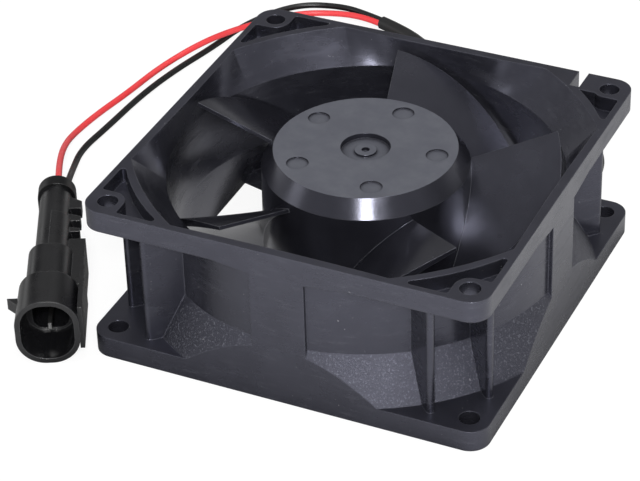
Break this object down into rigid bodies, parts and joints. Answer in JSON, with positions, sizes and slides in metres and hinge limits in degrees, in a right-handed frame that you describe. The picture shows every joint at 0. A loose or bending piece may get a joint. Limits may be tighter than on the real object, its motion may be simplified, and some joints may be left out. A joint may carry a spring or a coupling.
{
  "type": "axial cooling fan",
  "caption": "Square DC axial fan module with a flanged frame, five-blade impeller on a brushless motor, two loose leads and a sealed two-way tab plug.",
  "frame": {"origin": "middle of the frame's outlet face (its underside as it lies), on the rotor's axis", "axes": "+Z along the rotor's axis to the rotor face, +Y to the side where the leads leave, +X right-handed from them"},
  "size_m": [0.1387, 0.1682, 0.038],
  "materials": {
    "frame_plastic": "satin charcoal, lightly grained",
    "impeller_plastic": "satin charcoal",
    "bearing_steel": "ground",
    "turned_steel": "turned",
    "yoke_steel": "drawn, plated",
    "magnet_ferrite": "bonded ferrite",
    "brass": "turned",
    "core_steel": "laminated",
    "insulator_nylon": "moulded",
    "copper_wire": "enamelled copper",
    "tinned_metal": "tinned",
    "board_laminate": "solder resist",
    "chip_epoxy": "moulded",
    "lead_red_pvc": "smooth sheath",
    "lead_black_pvc": "smooth sheath",
    "sleeve_black": "heat-shrink",
    "connector_plastic": "satin black",
    "lock_plastic": "satin",
    "seal_rubber": "silicone"
  },
  "bodies": {
    "frame_and_stator": {"fan_frame": "frame_plastic", "bearing_tube": "brass", "base_cap": "connector_plastic", "stator_core": "core_steel", "upper_insulator": "insulator_nylon", "lower_insulator": "insulator_nylon", "windings": "copper_wire", "winding_pins": "tinned_metal", "circuit_board": "board_laminate", "hall_sensor": "chip_epoxy", "driver_chip": "chip_epoxy", "capacitor": "chip_epoxy", "solder_tabs": "tinned_metal", "lead_tail_red": "lead_red_pvc", "lead_tail_black": "lead_black_pvc", "lead_sleeve": "sleeve_black", "lead_red": "lead_red_pvc", "lead_black": "lead_black_pvc", "connector_housing": "connector_plastic", "connector_end_cap": "connector_plastic", "terminals": "brass", "terminal_lock": "lock_plastic", "wire_seals": "seal_rubber", "lower_bearing_outer": "bearing_steel", "upper_bearing_outer": "bearing_steel"},
    "rotor": {"impeller": "impeller_plastic", "rotor_yoke": "yoke_steel", "rotor_magnet": "magnet_ferrite", "shaft_bush": "brass", "rotor_shaft": "turned_steel", "retaining_clip": "turned_steel", "preload_washer": "turned_steel", "lower_bearing_inner": "bearing_steel", "upper_bearing_inner": "bearing_steel"},
    "lower_ball_set": {"lower_bearing_balls": "bearing_steel", "lower_bearing_cage": "turned_steel"},
    "upper_ball_set": {"upper_bearing_balls": "bearing_steel", "upper_bearing_cage": "turned_steel"}
  },
  "joints": [
    {"name": "rotor_spin", "type": "hinge", "parent": "frame_and_stator", "child": "rotor", "pos_m": [0, 0, 0.019], "axis": [0, 0, 1], "continuous": true},
    {"name": "lower_balls_roll", "type": "hinge", "parent": "frame_and_stator", "child": "lower_ball_set", "pos_m": [0, 0, 0.007], "axis": [0, 0, 1], "continuous": true},
    {"name": "upper_balls_roll", "type": "hinge", "parent": "frame_and_stator", "child": "upper_ball_set", "pos_m": [0, 0, 0.028], "axis": [0, 0, 1], "continuous": true}
  ],
  "couplings": [
    {"joint": "lower_balls_roll", "follows": "rotor_spin", "ratio": 0.3636},
    {"joint": "upper_balls_roll", "follows": "rotor_spin", "ratio": 0.3636}
  ]
}
